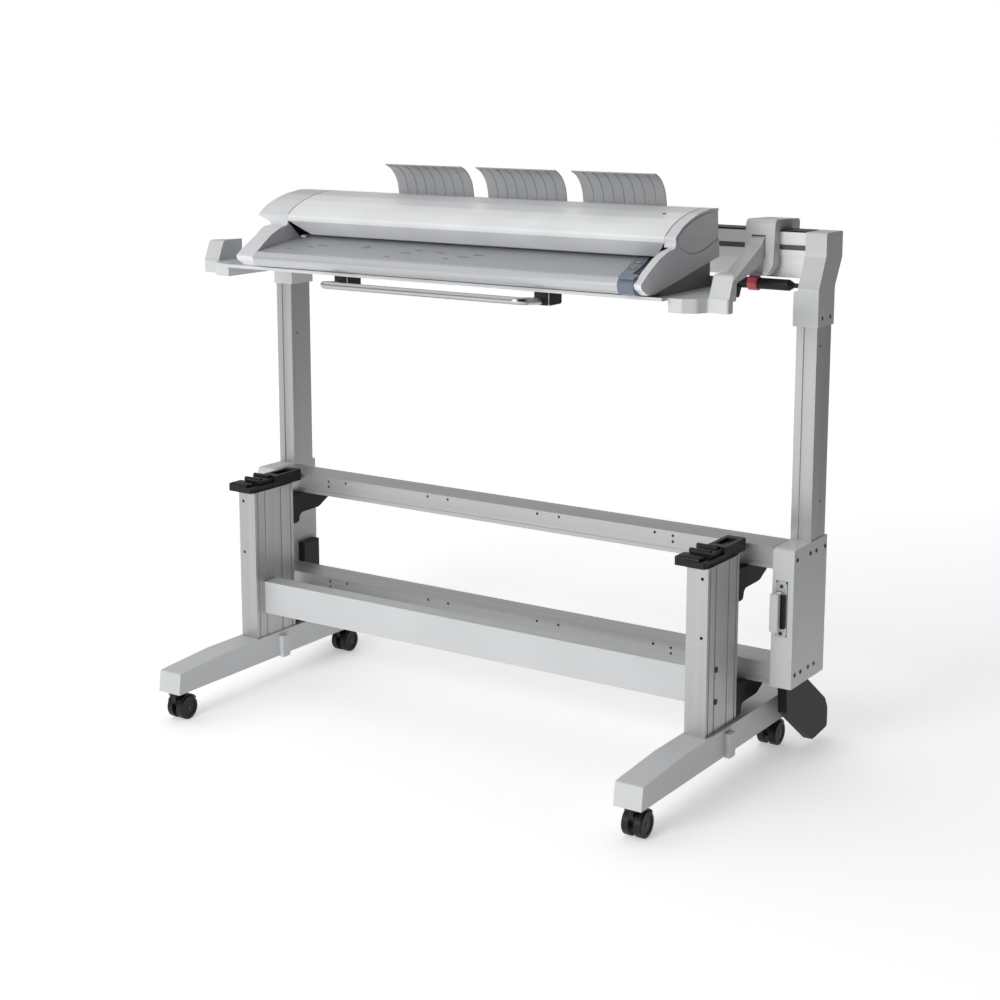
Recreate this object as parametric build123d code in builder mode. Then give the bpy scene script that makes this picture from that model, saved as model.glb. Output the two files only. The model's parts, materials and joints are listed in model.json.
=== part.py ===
from build123d import *
from math import atan2, cos, radians, sin, tan
import os

os.makedirs("parts", exist_ok=True)

# Wide-format scanner on a castored stand that straddles a plotter.
# Millimetres. X runs left to right, Y runs from the operator to the rear, Z is up.
# The origin lies on the floor, under the middle of the overall box.

SIDES = ((-1, "left"), (1, "right"))
FIT = 0.05                     # radial clearance of every running fit
SCREW_RADIUS = 4.6             # heads on the end boxes and the top brackets

# Feet and castors
HALF_DEPTH = 379.0             # the feet's toes and the rear links end here
FOOT_X = 610.5
FOOT_WIDTH = 63.4
FOOT_BOTTOM = 70.5
FOOT_TOP = 131.0
FOOT_REAR = 314.0
FOOT_WALL = 4.0
CASTOR_Y = {"front": -354.7, "rear": 256.0}
CASTOR_TRAIL = 18.0
WHEEL_RADIUS = 28.0
STEM_RADIUS = 5.0
AXLE_RADIUS = 3.0

# Front posts, crossbar and rests
POST_INNER = 584.1
POST_OUTER = 633.4
POST_FRONT = -96.0
POST_REAR = 46.0
POST_TOP = 493.4
BAR_Z = (190.0, 269.0)

# Rear frame
BOX_INNER = 688.1
BOX_OUTER = 736.9
BOX_Y = (93.5, 260.0)
BOX_Z = (200.9, 506.2)
RAIL_Y = (93.5, 173.5)
RAIL_HEIGHT = 47.0
UPPER_RAIL_Z = 460.0
LOWER_RAIL_Z = 206.0
RAIL_HOLES = (-456, -209, -151, 99, 157, 404)
COLUMN_OUTER = 735.0
COLUMN_Y = (178.0, 250.0)
COLUMN_TOP = 1008.0

# Top rail and its brackets
BRACKET_INNER = 690.0
BRACKET_OUTER = 738.0
TOP_RAIL_Y = (214.0, 275.0)
TOP_RAIL_Z = (1107.0, 1158.6)
STRIP_TOP = 1162.0
SKIRT_BOTTOM = 1062.0

# Lifting arms and their pivots
PIVOT_Y = 200.0
PIVOT_Z = 1120.0
PIVOT_RADIUS = 5.0
HOUSING_X = (560.0, 628.0)
WEB_X = (576.0, 606.0)
ARM_X = (574.0, 686.0)
ARM_Z = (1025.6, 1054.4)
TRAY_Z = (1050.0, 1053.0)
LOCK_Y = 194.0
LOCK_Z = 1049.0
LOCK_RADIUS = 12.0
NOSE_RADIUS = 5.0
HANDLE_X = (-238.0, 285.0)
HANDLE_Y = -186.0

# Scanner, drawn in a section plane tilted about X: u to the rear, w up
TILT = 10.6
SCAN_Y = -184.0
SCAN_Z = 1060.0
BODY_HALF = 547.0
DRIVE_X = -508.0               # left wall of the base, where the drive is mounted
FRONT_ARM_X = (-494.0, -446.0)  # left cap's front arm
FRONT_ARM_END = 154.0          # u where the arm meets the full-width cap
LID_X = (-460.0, 521.0)
PANEL_EDGE_X = 530.5
HINGE = (278.0, 92.0)
HINGE_RADIUS = 3.0
ROLLER_W = 16.0
ROLLER_U = {"front": 179.0, "rear": 262.0}
ROLLER_RADIUS = 8.5
SHAFT_RADIUS = 4.0
PULLEY_RADIUS = 8.5
MOTOR = (183.0, 64.0)
MOTOR_PULLEY_RADIUS = 7.0
TABLE_FRONT = (-24.0, 40.4)
TABLE_REAR = (169.0, 26.2)
TABLE_SKIN = 3.0
GLASS_W = (22.0, 25.0)
PLATE_W = (32.0, 35.8)
LID_HOLLOW = ((168, 24), (283, 24), (290, 97), (257, 105), (207, 107.5), (168, 104.5), (134, 98), (106, 86),
              (107, 77), (137, 41), (143, 38), (168, 38))
LID_END_HOLLOW = ((171, 24), (283, 24), (290, 97), (257, 105), (207, 107.5), (168, 104.5), (134, 98),
                  (106, 86), (106, 80), (171, 80))
LID_MITRE = 38.0               # the lid's lower face is cut back this far at each end
BUTTONS = ((482.5, 59), (466, 110))
BUTTON_RADIUS = 6.15
GUIDES = ((-283, -73), (-33, 174), (216, 421))
GUIDE_RADIUS = 70.0
GUIDE_SWEEP = 65.0


def save(piece, label):
    """Name a finished piece and write its STEP file."""
    piece.part.label = label
    export_step(piece.part, f"parts/{label}.step")


def span(side, near, far):
    """Low and high X of a stretch given by its distances from the middle."""
    return tuple(sorted((side * near, side * far)))


def prism(plane, depth, points, mode=Mode.ADD, rounds=0):
    """Straight prism on a plane, with one corner radius or one for each point."""
    with BuildSketch(plane) as outline:
        with BuildLine():
            FilletPolyline(*points, radius=rounds, close=True)
        make_face()
    extrude(outline.sketch, amount=depth, mode=mode)


def side_prism(x, points, mode=Mode.ADD, rounds=0):
    """Prism with a YZ outline between two X values."""
    prism(Plane.YZ.offset(x[0]), x[1] - x[0], points, mode, rounds)


def block(x, y, z, mode=Mode.ADD):
    """Box between low and high values on each axis."""
    with Locations(((x[0] + x[1]) / 2, (y[0] + y[1]) / 2, (z[0] + z[1]) / 2)):
        Box(x[1] - x[0], y[1] - y[0], z[1] - z[0], mode=mode)


def disc(plane, depth, centre, radius, mode=Mode.ADD):
    """Round bar or bore standing on a plane."""
    with BuildSketch(plane) as circle:
        with Locations(centre):
            Circle(radius)
    extrude(circle.sketch, amount=depth, mode=mode)


def x_rod(x, y, z, radius, mode=Mode.ADD):
    disc(Plane.YZ.offset(x[0]), x[1] - x[0], (y, z), radius, mode)


def y_rod(x, y, z, radius, mode=Mode.ADD):
    disc(Plane.XZ.offset(-y[1]), y[1] - y[0], (x, z), radius, mode)


def z_rod(x, y, z, radius, mode=Mode.ADD):
    disc(Plane.XY.offset(z[0]), z[1] - z[0], (x, y), radius, mode)


def scan_plane(x):
    """The scanner's tilted section plane at one X."""
    slope = (0, cos(radians(TILT)), sin(radians(TILT)))
    return Plane(origin=(x, SCAN_Y, SCAN_Z), x_dir=slope, z_dir=(1, 0, 0))


def scan_prism(x, points, mode=Mode.ADD, rounds=0):
    prism(scan_plane(x[0]), x[1] - x[0], points, mode, rounds)


def scan_rod(x, centre, radius, mode=Mode.ADD):
    disc(scan_plane(x[0]), x[1] - x[0], centre, radius, mode)


def scan_box(x, u, w, mode=Mode.ADD):
    """Box aligned with the scanner's own u and w directions."""
    scan_prism(x, ((u[0], w[0]), (u[1], w[0]), (u[1], w[1]), (u[0], w[1])), mode)


def cross_prism(u, points, mode=Mode.ADD):
    """Prism along the scanner's u direction, with an outline in X and w."""
    run, rise = cos(radians(TILT)), sin(radians(TILT))
    origin = (0, SCAN_Y + u[1] * run, SCAN_Z + u[1] * rise)
    prism(Plane(origin=origin, x_dir=(1, 0, 0), z_dir=(0, -run, -rise)), u[1] - u[0], points, mode)


def underside_z(y):
    """Height of the scanner's sloping underside."""
    return SCAN_Z + (y - SCAN_Y) * tan(radians(TILT))


def table_under(u):
    """Height w of the feed table's underside."""
    fall = (TABLE_FRONT[1] - TABLE_REAR[1]) / (TABLE_REAR[0] - TABLE_FRONT[0])
    return TABLE_FRONT[1] - TABLE_SKIN - (u - TABLE_FRONT[0]) * fall


def table_plane(lift=0):
    """Plane of the table's top: its x is X, its y runs to the rear down the table."""
    fall = atan2(TABLE_FRONT[1] - TABLE_REAR[1], TABLE_REAR[0] - TABLE_FRONT[0])
    slope = radians(TILT) - fall
    u, w = TABLE_FRONT
    y = SCAN_Y + u * cos(radians(TILT)) - w * sin(radians(TILT))
    z = SCAN_Z + u * sin(radians(TILT)) + w * cos(radians(TILT))
    plane = Plane(origin=(0, y, z), x_dir=(1, 0, 0), z_dir=(0, -sin(slope), cos(slope)))
    return plane.offset(lift)


# ---------------------------------------------------------------- castors

def castor(end, side, name):
    """Twin-wheel swivel castor: one fork with its stem, one pair of wheels on an axle."""
    x = side * FOOT_X
    y = CASTOR_Y[end]
    hub_y = y + CASTOR_TRAIL
    with BuildPart() as fork:
        z_rod(x, y, (60, FOOT_BOTTOM + 33), STEM_RADIUS)
        z_rod(x, y, (62, FOOT_BOTTOM - 0.3), 18)
        neck = ((y - 11, 64), (y - 9, 44), (hub_y - 8, 17), (hub_y + 10, 20), (hub_y + 15, 36), (y + 12, 64))
        side_prism((x - 5.5, x + 5.5), neck, rounds=3)
        x_rod((x - 20, x + 20), hub_y, WHEEL_RADIUS, 32)
        x_rod((x - 21, x + 21), hub_y, WHEEL_RADIUS, 29.6, Mode.SUBTRACT)
        block((x - 21, x + 21), (hub_y - 33, hub_y + 33), (-5, 45), Mode.SUBTRACT)
        side_prism((x - 5.5, x + 5.5), neck, rounds=3)
        x_rod((x - 6, x + 6), hub_y, WHEEL_RADIUS, AXLE_RADIUS + FIT, Mode.SUBTRACT)
    save(fork, f"castor_fork_{name}")
    with BuildPart() as wheels:
        x_rod((x - 23, x + 23), hub_y, WHEEL_RADIUS, WHEEL_RADIUS)
        rims = wheels.edges().filter_by(GeomType.CIRCLE)
        fillet(rims, 3)
        x_rod((x - 6.5, x + 6.5), hub_y, WHEEL_RADIUS, WHEEL_RADIUS + 1, Mode.SUBTRACT)
        x_rod((x - 23, x - 21.5), hub_y, WHEEL_RADIUS, 19, Mode.SUBTRACT)
        x_rod((x + 21.5, x + 23), hub_y, WHEEL_RADIUS, 19, Mode.SUBTRACT)
        x_rod((x - 22.5, x + 22.5), hub_y, WHEEL_RADIUS, AXLE_RADIUS)
    save(wheels, f"castor_wheels_{name}")


# ---------------------------------------------------------------- feet and front frame

def foot(side, name):
    """Long cast foot: open underneath, sloping toe, castor sockets and two side lugs."""
    low = side * FOOT_X - FOOT_WIDTH / 2
    high = low + FOOT_WIDTH
    toe = -HALF_DEPTH
    with BuildPart() as piece:
        outer = ((toe, FOOT_BOTTOM), (toe + 6.5, 119.8), (-212, FOOT_TOP), (FOOT_REAR, FOOT_TOP),
                 (FOOT_REAR, FOOT_BOTTOM))
        side_prism((low, high), outer, rounds=(0, 4, 60, 4, 0))
        inner = ((toe + 4.5, FOOT_BOTTOM - 1), (toe + 10.5, 115.5), (-212, FOOT_TOP - FOOT_WALL),
                 (FOOT_REAR - FOOT_WALL, FOOT_TOP - FOOT_WALL), (FOOT_REAR - FOOT_WALL, FOOT_BOTTOM - 1))
        side_prism((low + FOOT_WALL, high - FOOT_WALL), inner, Mode.SUBTRACT)
        for y, top in zip(CASTOR_Y.values(), (117, FOOT_TOP - FOOT_WALL + 1)):
            z_rod(side * FOOT_X, y, (FOOT_BOTTOM, top), 13)
            z_rod(side * FOOT_X, y, (FOOT_BOTTOM, FOOT_BOTTOM + 34), STEM_RADIUS + FIT, Mode.SUBTRACT)
        block((low - 12.7, low), (-23, 3), (68, 121))
        block((high, high + 12.7), (-23, 3), (68, 121))
    save(piece, f"foot_{name}")


def front_post(side, name):
    """Extruded front post: hollow, with two fine grooves on each flank and two front holes."""
    x = span(side, POST_INNER, POST_OUTER)
    with BuildPart() as piece:
        block(x, (POST_FRONT, POST_REAR), (FOOT_TOP, POST_TOP))
        for cell in ((POST_FRONT + 3.5, -27), (-23.5, POST_REAR - 3.5)):
            block((x[0] + 3.5, x[1] - 3.5), cell, (FOOT_TOP, POST_TOP), Mode.SUBTRACT)
        for flank in x:
            for y in (-86, -60, -2, 34):
                block((flank - 1.5, flank + 1.5), (y - 2.5, y + 2.5), (FOOT_TOP, POST_TOP), Mode.SUBTRACT)
        for z in (345, 471):
            y_rod(side * 620, (POST_FRONT - 1, POST_FRONT + 5), z, 3.5, Mode.SUBTRACT)
    save(piece, f"front_post_{name}")


def front_crossbar():
    """Folded sheet crossbar between the front posts, open to the rear."""
    with BuildPart() as piece:
        block((-POST_INNER, POST_INNER), (-66, -22), BAR_Z)
        block((-POST_INNER, POST_INNER), (-63.5, -22), (BAR_Z[0] + 2.5, BAR_Z[1] - 2.5), Mode.SUBTRACT)
        block((-POST_INNER, POST_INNER), (-24.5, -22), (BAR_Z[0], BAR_Z[0] + 14))
        block((-POST_INNER, POST_INNER), (-24.5, -22), (BAR_Z[1] - 14, BAR_Z[1]))
    save(piece, "front_crossbar")


def printer_rest(side, name):
    """Stepped plastic rest on a post's top: it locates one end of the plotter."""
    centre = side * (POST_INNER + POST_OUTER) / 2
    steps = (((-24, 20), (-104, 86), 13), ((-52, -18), (-102, -58), 18), ((-34, 14), (-66, -4), 23),
             ((-24, 20), (-12, 86), 27))
    with BuildPart() as piece:
        for x, y, height in steps:
            low, high = centre + x[0], centre + x[1]
            corners = ((low, y[0]), (high, y[0]), (high, y[1]), (low, y[1]))
            prism(Plane.XY.offset(POST_TOP), height, corners, rounds=4)
        for y, top in ((-98, 22), (-82, 20), (-50, 27), (-18, 30)):
            x_rod((centre - 42, centre + 6), y, POST_TOP + top - 6, 6)
        block((centre - 14, centre + 10), (8, 66), (POST_TOP + 20, POST_TOP + 28), Mode.SUBTRACT)
    save(piece, f"printer_rest_{name}")


# ---------------------------------------------------------------- rear frame

def rear_rail(bottom, label):
    """Two-cell extruded rail between the end boxes, with a long groove and bolt holes."""
    x = (-BOX_INNER, BOX_INNER)
    with BuildPart() as piece:
        block(x, RAIL_Y, (bottom, bottom + RAIL_HEIGHT))
        for cell in ((RAIL_Y[0] + 3, 132), (135, RAIL_Y[1] - 3)):
            block(x, cell, (bottom + 3, bottom + RAIL_HEIGHT - 3), Mode.SUBTRACT)
        block(x, (RAIL_Y[0] - 1, RAIL_Y[0] + 1.5), (bottom + 9, bottom + 12), Mode.SUBTRACT)
        for hole in RAIL_HOLES:
            y_rod(hole, (RAIL_Y[0] - 1, RAIL_Y[0] + 5), bottom + 39, 3, Mode.SUBTRACT)
        for hole in (-509, 449):
            for height in (24, 37):
                y_rod(hole, (RAIL_Y[0] - 1, RAIL_Y[0] + 5), bottom + height, 3, Mode.SUBTRACT)
    save(piece, label)


def gussets():
    """Four cast brackets that carry the rear rails off the back of the front posts."""
    with BuildPart() as piece:
        for side, _ in SIDES:
            for top in (UPPER_RAIL_Z, LOWER_RAIL_Z):
                x = span(side, POST_INNER, POST_OUTER)
                outline = ((POST_REAR, top), (POST_REAR, top - 70), (POST_REAR + 22, top - 70),
                           (POST_REAR + 26, top - 47), (146, top - 46), (RAIL_Y[1] + 12, top - 26),
                           (RAIL_Y[1] + 12, top))
                side_prism(x, outline, rounds=(0, 2, 9, 14, 30, 3, 0))
                pocket = ((POST_REAR + 6, top - 6), (POST_REAR + 6, top - 71), (POST_REAR + 15, top - 71),
                          (POST_REAR + 19, top - 41), (134, top - 40), (RAIL_Y[1] - 6, top - 23),
                          (RAIL_Y[1] - 6, top - 6))
                side_prism((x[0] + 6, x[1] - 6), pocket, Mode.SUBTRACT)
    save(piece, "rail_gussets")


def end_box(side, name):
    """Tall painted casing at each end of the rear rails, open underneath."""
    x = span(side, BOX_INNER, BOX_OUTER)
    with BuildPart() as piece:
        block(x, BOX_Y, BOX_Z)
        fillet(piece.edges().filter_by(Axis.X).group_by(Axis.Z)[-1].sort_by(Axis.Y)[0], 9)
        block((x[0] + 3, x[1] - 3), (BOX_Y[0] + 3, BOX_Y[1] - 3), (BOX_Z[0], BOX_Z[1] - 4), Mode.SUBTRACT)
        if side > 0:
            block((697, 724), (BOX_Y[0] - 1, BOX_Y[0] + 4), (315, 436), Mode.SUBTRACT)
    save(piece, f"end_box_{name}")


def side_grip():
    """Recessed pull handle on the right end box: black tub, two steel brackets, one grip bar."""
    face = BOX_Y[0]
    with BuildPart() as piece:
        block((697, 724), (face, face + 12), (315, 436))
        block((699, 722), (face, face + 10), (317, 434), Mode.SUBTRACT)
        for low, high in ((318.5, 333), (410, 432.5)):
            block((701, 720), (face - 2.5, face), (low, high))
            block((700, 712), (face - 10, face - 2.5), (max(low, 325), min(high, 417)))
        block((693, 713), (face - 24, face - 10), (329, 412))
    save(piece, "side_grip")


def column(side, name):
    """Extruded column with a front groove and screw holes in its flanks; it stands on the end box."""
    x = span(side, BOX_INNER, COLUMN_OUTER)
    z = (BOX_Z[1], COLUMN_TOP)
    front, rear = COLUMN_Y
    middle = (x[0] + x[1]) / 2
    with BuildPart() as piece:
        block(x, COLUMN_Y, z)
        block((x[0] + 3, x[1] - 3), (front + 5, rear - 3), z, Mode.SUBTRACT)
        block((middle - 7, middle + 7), (front - 1, front + 2.5), z, Mode.SUBTRACT)
        for wall, y, height in ((COLUMN_OUTER, 196, 926), (COLUMN_OUTER, 221, 588), (BOX_INNER, 200, 840)):
            x_rod(span(side, wall - 4, wall + 4), y, height, 3, Mode.SUBTRACT)
    save(piece, f"column_{name}")


def top_bracket(side, name):
    """Cast elbow: a socket over the column below, a cheek for the top rail above."""
    with BuildPart() as piece:
        cheek = ((173, 966), (255, 966), (255, 1046), (289, 1106), (289, 1161), (206, 1161), (206, 1112),
                 (173, 1044))
        side_prism(span(side, BRACKET_INNER, BRACKET_OUTER), cheek, rounds=(0, 0, 15, 15, 5, 5, 15, 15))
        block(span(side, 681, BRACKET_INNER + 1), (173, 255), (966, 1038))
        block(span(side, BOX_INNER - 0.2, COLUMN_OUTER + 0.2), (COLUMN_Y[0] - 0.2, COLUMN_Y[1] + 0.2),
              (966, COLUMN_TOP + 0.2), Mode.SUBTRACT)
        for y in (196, 236):
            x_rod(span(side, BRACKET_OUTER - 1.5, BRACKET_OUTER), y, 984, SCREW_RADIUS, Mode.SUBTRACT)
        if side > 0:
            x_rod((BRACKET_INNER - 1, 734), LOCK_Y, LOCK_Z, NOSE_RADIUS + FIT, Mode.SUBTRACT)
    save(piece, f"top_bracket_{name}")


def top_rail():
    """Hollow top rail with a shadow groove along its front."""
    y, z = TOP_RAIL_Y, TOP_RAIL_Z
    with BuildPart() as piece:
        block((-BRACKET_INNER, BRACKET_INNER), y, z)
        block((-BRACKET_INNER, BRACKET_INNER), (y[0] + 8, y[1] - 3), (z[0] + 3, z[1] - 3), Mode.SUBTRACT)
        block((-BRACKET_INNER, BRACKET_INNER), (y[0] - 1, y[0] + 5), (1121, 1132), Mode.SUBTRACT)
    save(piece, "top_rail")


def top_rail_strip():
    """Black cover strip along the rail's top."""
    with BuildPart() as piece:
        block((-BRACKET_INNER, BRACKET_INNER), (216, 273), (TOP_RAIL_Z[1], STRIP_TOP))
    save(piece, "top_rail_strip")


def rail_skirt():
    """Sheet channel under the top rail, for the scanner's leads."""
    with BuildPart() as piece:
        block((-BRACKET_INNER, BRACKET_INNER), (218, 272), (SKIRT_BOTTOM, TOP_RAIL_Z[0]))
        block((-BRACKET_INNER, BRACKET_INNER), (220, 270), (SKIRT_BOTTOM + 2, TOP_RAIL_Z[0]), Mode.SUBTRACT)
    save(piece, "rail_skirt")


def rear_links():
    """Black links that join the end boxes to the rear of the feet."""
    foot_side = FOOT_X + FOOT_WIDTH / 2
    with BuildPart() as piece:
        for side, _ in SIDES:
            plate = ((152, BOX_Z[0]), (159, 122), (297, 20), (315, 20), (HALF_DEPTH, 27), (HALF_DEPTH, 72),
                     (364, 98), (223, BOX_Z[0]))
            side_prism(span(side, 679, 700), plate, rounds=(0, 5, 5, 5, 8, 10, 10, 0))
            block(span(side, foot_side, 679.5), (284, 310), (82, 128))
    save(piece, "rear_links")


def cable_box():
    """Lead junction box on the left end box's inner face."""
    with BuildPart() as piece:
        block((-BOX_INNER, -670), (188, 250), (213, 298))
        fillet(piece.faces().sort_by(Axis.X)[-1].edges(), 3)
    save(piece, "cable_box")


def frame_screws():
    """Screw heads on the end boxes, the top brackets and the posts' outer flanks."""
    with BuildPart() as piece:
        for side, _ in SIDES:
            for z, row in ((482, (109, 175, 205, 250)), (229, (111, 140, 179, 208))):
                for y in row:
                    x_rod(span(side, BOX_OUTER, BRACKET_OUTER), y, z, SCREW_RADIUS)
            for y in (196, 236):
                x_rod(span(side, BRACKET_OUTER - 1.5, BRACKET_OUTER), y, 984, SCREW_RADIUS)
            for z in (198, 268):
                x_rod(span(side, POST_OUTER, POST_OUTER + 1.5), -52, z, 6.5)
    save(piece, "frame_screws")


# ---------------------------------------------------------------- lifting arms, housings and lock

def arm_housing(side, name):
    """Bracket clamped round the top rail; a slot takes the arm and a cross pin carries it."""
    x = span(side, *HOUSING_X)
    front, rear = TOP_RAIL_Y
    with BuildPart() as piece:
        shell = ((177, 1066), (184, 1104), (190, 1178), (198, 1185), (306, 1181), (312, 1176), (312, 1154),
                 (rear, 1154), (rear, STRIP_TOP), (front, STRIP_TOP), (front, 1066))
        side_prism(x, shell, rounds=(6, 0, 8, 8, 6, 3, 0, 0, 0, 0, 0))
        block(span(side, WEB_X[0] - 1, WEB_X[1] + 1), (165, front - 1), (1060, 1152), Mode.SUBTRACT)
        corner = ((629, 1100), (627.5, 1089), (623, 1079), (616, 1071), (608, 1066), (608, 1060), (629, 1060))
        prism(Plane.XZ.offset(-front), front - 170, [(side * a, z) for a, z in corner], Mode.SUBTRACT)
        x_rod(span(side, 563, 625), PIVOT_Y, PIVOT_Z, PIVOT_RADIUS, Mode.SUBTRACT)
    save(piece, f"arm_housing_{name}")


def arm_pivot_pins():
    """Two cross pins, pressed into the housings."""
    with BuildPart() as piece:
        for side, _ in SIDES:
            x_rod(span(side, 563, 625), PIVOT_Y, PIVOT_Z, PIVOT_RADIUS)
    save(piece, "arm_pivot_pins")


def scanner_arm(side, name):
    """Cast arm: a shelf beside the scanner, a raised guard and a web up to the pivot knuckle."""
    shelf = ((574, -178), (604, -178), (630, -162), (641, -138), (686, -138), (686, -118), (606, 2),
             (606, 60), (574, 60))
    with BuildPart() as piece:
        points = [(side * x, y) for x, y in shelf]
        prism(Plane.XY.offset(ARM_Z[0]), ARM_Z[1] - ARM_Z[0], points, rounds=(0, 8, 14, 6, 5, 5, 20, 3, 0))
        guard = ((-136, ARM_Z[1]), (-116, 1100), (-46, 1100), (-38, 1092), (-38, ARM_Z[1]))
        side_prism(span(side, 642, 686), guard, rounds=(0, 8, 8, 5, 0))
        waste = [(side * x, y) for x, y in ((685.5, -118), (690, -118), (690, -30), (627, -30))]
        prism(Plane.XY.offset(ARM_Z[1]), 50, waste, Mode.SUBTRACT)
        root = ARM_Z[1] - 1
        web = ((12, root), (180, 1136), (196, 1132), (196, 1107), (150, 1084), (58, 1062), (58, root))
        side_prism(span(side, *WEB_X), web, rounds=(0, 6, 0, 0, 20, 6, 0))
        x_rod(span(side, *WEB_X), PIVOT_Y, PIVOT_Z, 11)
        x_rod(span(side, WEB_X[0] - 1, WEB_X[1] + 1), PIVOT_Y, PIVOT_Z, PIVOT_RADIUS + FIT, Mode.SUBTRACT)
    save(piece, f"scanner_arm_{name}")


def lock_shaft():
    """Turning lock: a stepped shaft with a lever tab, its nose in the right top bracket."""
    with BuildPart() as piece:
        x_rod((527, 662), LOCK_Y, LOCK_Z, LOCK_RADIUS)
        with BuildSketch(Plane.YZ.offset(662)) as root:
            with Locations((LOCK_Y, LOCK_Z)):
                Circle(LOCK_RADIUS)
        with BuildSketch(Plane.YZ.offset(674)) as tip:
            with Locations((LOCK_Y, LOCK_Z)):
                Circle(NOSE_RADIUS)
        loft([root.sketch, tip.sketch])
        x_rod((674, 732), LOCK_Y, LOCK_Z, NOSE_RADIUS)
        tab = ((182, 1049), (176, 1022), (180, 1016), (188, 1018), (198, 1038), (206, 1049))
        side_prism((529, 549), tab, rounds=(0, 3, 3, 3, 3, 0))
    save(piece, "lock_shaft")


def lock_collar():
    """Coloured collar pressed on the lock shaft."""
    with BuildPart() as piece:
        x_rod((569, 592), LOCK_Y, LOCK_Z, 16)
        chamfer(piece.edges(), 1.5)
        x_rod((568, 593), LOCK_Y, LOCK_Z, LOCK_RADIUS, Mode.SUBTRACT)
    save(piece, "lock_collar")


# ---------------------------------------------------------------- scanner support

def support_tray():
    """Sheet tray between the arms, with tilt blocks above and handle mounts below."""
    x = (-ARM_X[0], ARM_X[0])
    with BuildPart() as piece:
        block(x, (-204, 60), TRAY_Z)
        block(x, (-204, -201), (TRAY_Z[0], 1057))
        block(x, (57, 60), (TRAY_Z[0], 1075))
        for block_x in ((-500, -425), (470, 545)):
            top = ((-150, TRAY_Z[1]), (-150, underside_z(-150)), (55, underside_z(55)), (55, TRAY_Z[1]))
            side_prism(block_x, top)
            inner = ((-144, TRAY_Z[1]), (-144, underside_z(-144) - 6), (49, underside_z(49) - 6),
                     (49, TRAY_Z[1]))
            side_prism((block_x[0] + 6, block_x[1] - 6), inner, Mode.SUBTRACT)
        for middle in HANDLE_X:
            block((middle - 18, middle + 18), (HANDLE_Y, -140), (1020, TRAY_Z[0]))
    save(piece, "support_tray")


def pull_handle():
    """Bent round bar under the front lip, for pulling the scanner up."""
    with BuildPart() as piece:
        left, right = HANDLE_X
        with BuildLine() as run:
            FilletPolyline((left, HANDLE_Y, 1031), (left, -208, 1031), (left, -258, 1036),
                           (right, -258, 1036), (right, -208, 1031), (right, HANDLE_Y, 1031), radius=20)
        with BuildSketch(Plane(origin=run.line @ 0, z_dir=run.line % 0)):
            Circle(8)
        sweep()
    save(piece, "pull_handle")


# ---------------------------------------------------------------- scanner body

def scanner_base():
    """Folded sheet base: floor, front and rear turn-ups, two side walls, ledges for the glass."""
    channel = ((0, 0), (282, 0), (284.6, 24), (281.6, 24), (279.3, 3), (3, 3), (3, table_under(3)),
               (0, table_under(0)))
    drive_floor = ((156, 0), (282, 0), (284.6, 24), (281.6, 24), (279.3, 3), (156, 3))
    wall = ((3, 3), (279.3, 3), (281.6, 24), (175, 24), (166, 22), (3, 22))
    drive_wall = ((156, 3), (279.3, 3), (281.6, 24), (175, 24), (166, 22), (156, 22))
    with BuildPart() as piece:
        scan_prism(LID_X, channel)
        scan_prism((DRIVE_X, LID_X[0]), drive_floor)
        scan_box((LID_X[0], LID_X[0] + 3), (3, 165), (3, 22))
        for low, outline in ((DRIVE_X, drive_wall), (LID_X[1] - 3, wall)):
            scan_prism((low, low + 3), outline)
            for u in ROLLER_U.values():
                scan_rod((low, low + 3), (u, ROLLER_W), 5, Mode.SUBTRACT)
        inside = (DRIVE_X + 3, LID_X[1] - 3)
        scan_prism(inside, ((165, 3), (168, 3), (168, table_under(168)), (165, table_under(165))))
        for near in (188.5, 248):
            scan_box(inside, (near, near + 3.5), (3, GLASS_W[0]))
    save(piece, "scanner_base")


def feed_table():
    """Flat feed table, falling gently towards the slot."""
    front, rear = TABLE_FRONT, TABLE_REAR
    with BuildPart() as piece:
        outline = (front, (front[0], table_under(front[0])), (rear[0], table_under(rear[0])), rear)
        scan_prism((LID_X[0] + 0.2, LID_X[1] - 0.2), outline)
    save(piece, "feed_table")


def table_lip():
    """Deep rounded front lip, a hollow extrusion."""
    front = TABLE_FRONT
    outline = (front, (-38, 41.4), (-51, 33), (-48, 14), (-25, 4), (0, 0), (0, 34.5), (front[0], 37.2))
    hollow = ((-26, 36.5), (-37, 37.5), (-47.5, 31), (-45, 16.5), (-24, 7.5), (-3.5, 4), (-3.5, 31),
              (-24, 33.5))
    with BuildPart() as piece:
        x = (FRONT_ARM_X[1] + 0.2, 493.5)
        scan_prism(x, outline, rounds=(0, 9, 10, 10, 8, 0, 0, 0))
        scan_prism(x, hollow, Mode.SUBTRACT, rounds=(0, 6, 7, 7, 5, 0, 0, 0))
    save(piece, "table_lip")


CAP = ((0, 0), (282.8, 0), (294.5, 100.5), (257.4, 108.5), (206.9, 110.8), (167.7, 108), (132.9, 101.3),
       (100.9, 87.9), (101.8, 76.6), (98, 67.1), (68.8, 68.5), (31.2, 63.3), (-13.2, 49.3), (-50.6, 33.9),
       (-47.6, 23.1), (-25.6, 4.8))
CAP_ROUNDS = (30, 5, 5, 60, 90, 60, 60, 6, 3, 8, 60, 60, 60, 4, 8, 8)
POCKET = ((8, 6), (276, 6), (286, 94), (257, 103), (207, 105.5), (168, 102.5), (134, 95), (108, 80),
          (104, 62), (70, 60), (30, 55), (-10, 42), (-38, 30), (-30, 12))
REAR_POCKET = ((158, 6), (276, 6), (286, 94), (257, 103), (207, 105.5), (168, 102.5), (158, 100.4))
ARM_POCKET = ((10, -5), (150, -5), (150, 30), (100, 60), (70, 60), (30, 55), (-10, 42), (-36, 30),
              (-30, 14), (-10, 8), (10, 8))
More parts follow.
